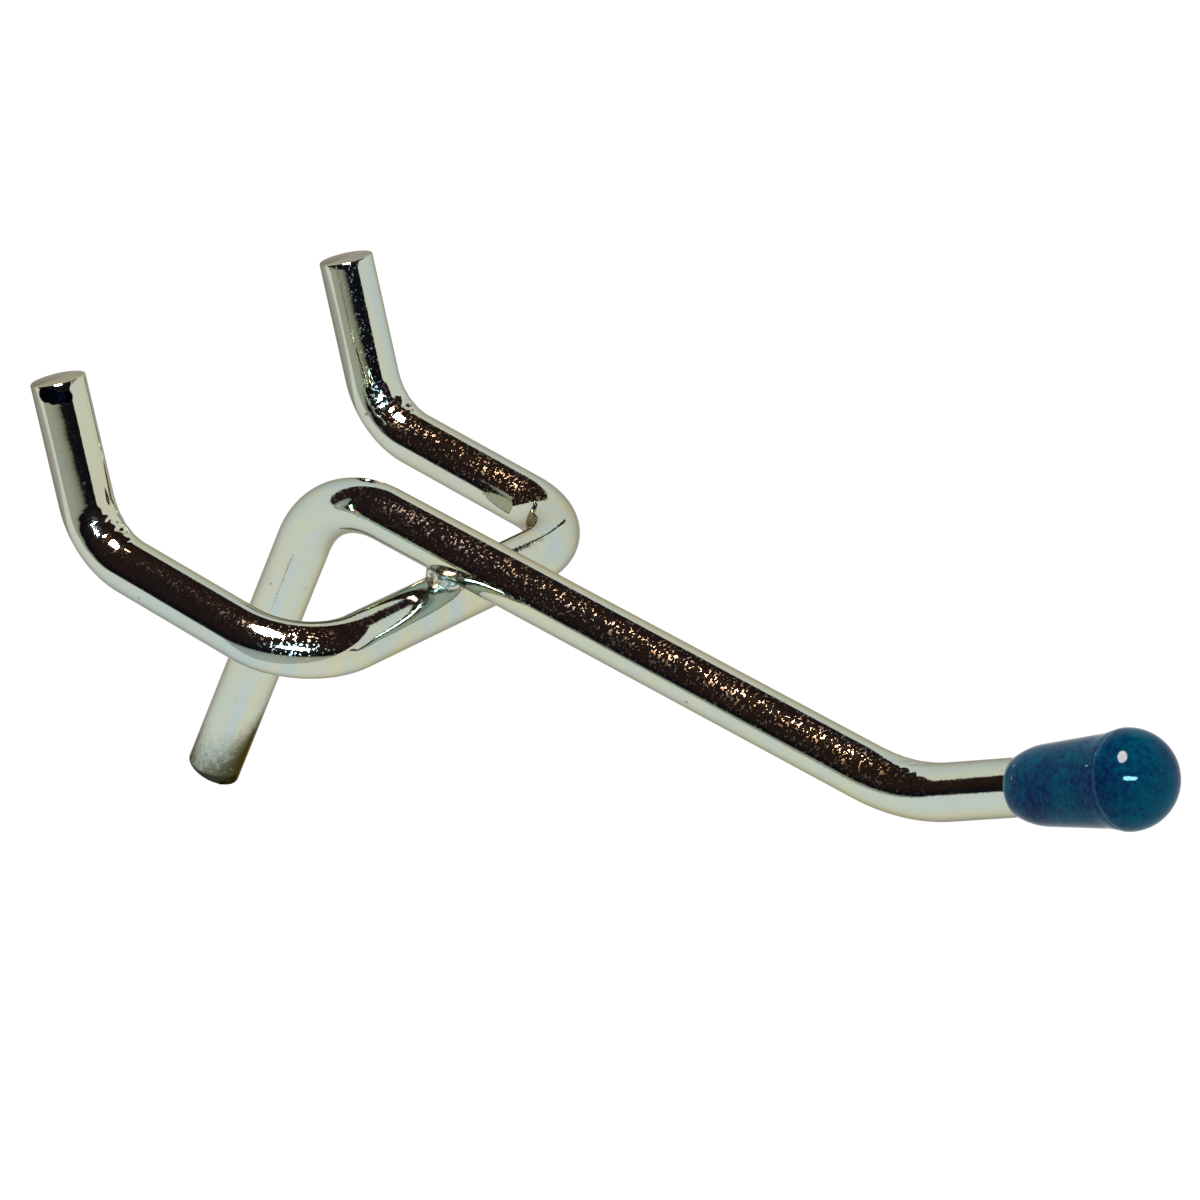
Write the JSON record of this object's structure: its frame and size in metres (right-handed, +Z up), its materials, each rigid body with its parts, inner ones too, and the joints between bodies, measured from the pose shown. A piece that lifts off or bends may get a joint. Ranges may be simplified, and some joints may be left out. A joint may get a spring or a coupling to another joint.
{
  "type": "pegboard hook",
  "caption": "Pegboard hook of plated steel wire: an upturned arm with a ball-ended plastic cap, welded over a bow whose legs pass through the board and turn up behind it.",
  "frame": {"origin": "on the front face of the board, midway between the two holes, at the height where the axes of the peg legs cross that face", "axes": "+Y into the board, +Z up, +X along the row of holes; the arm comes out along -Y"},
  "size_m": [0.0288, 0.0725, 0.0538],
  "materials": {
    "plated_wire": "bright zinc plate over drawn steel wire, with small pits and bending marks",
    "plated_weld": "bright zinc plate over a lumpy weld",
    "cap_plastic": "glossy moulded vinyl, deep teal blue"
  },
  "bodies": {
    "root": {"prong_wire": "plated_wire", "hook_wire": "plated_wire", "weld_bead": "plated_weld", "tip_cap": "cap_plastic"}
  },
  "joints": []
}
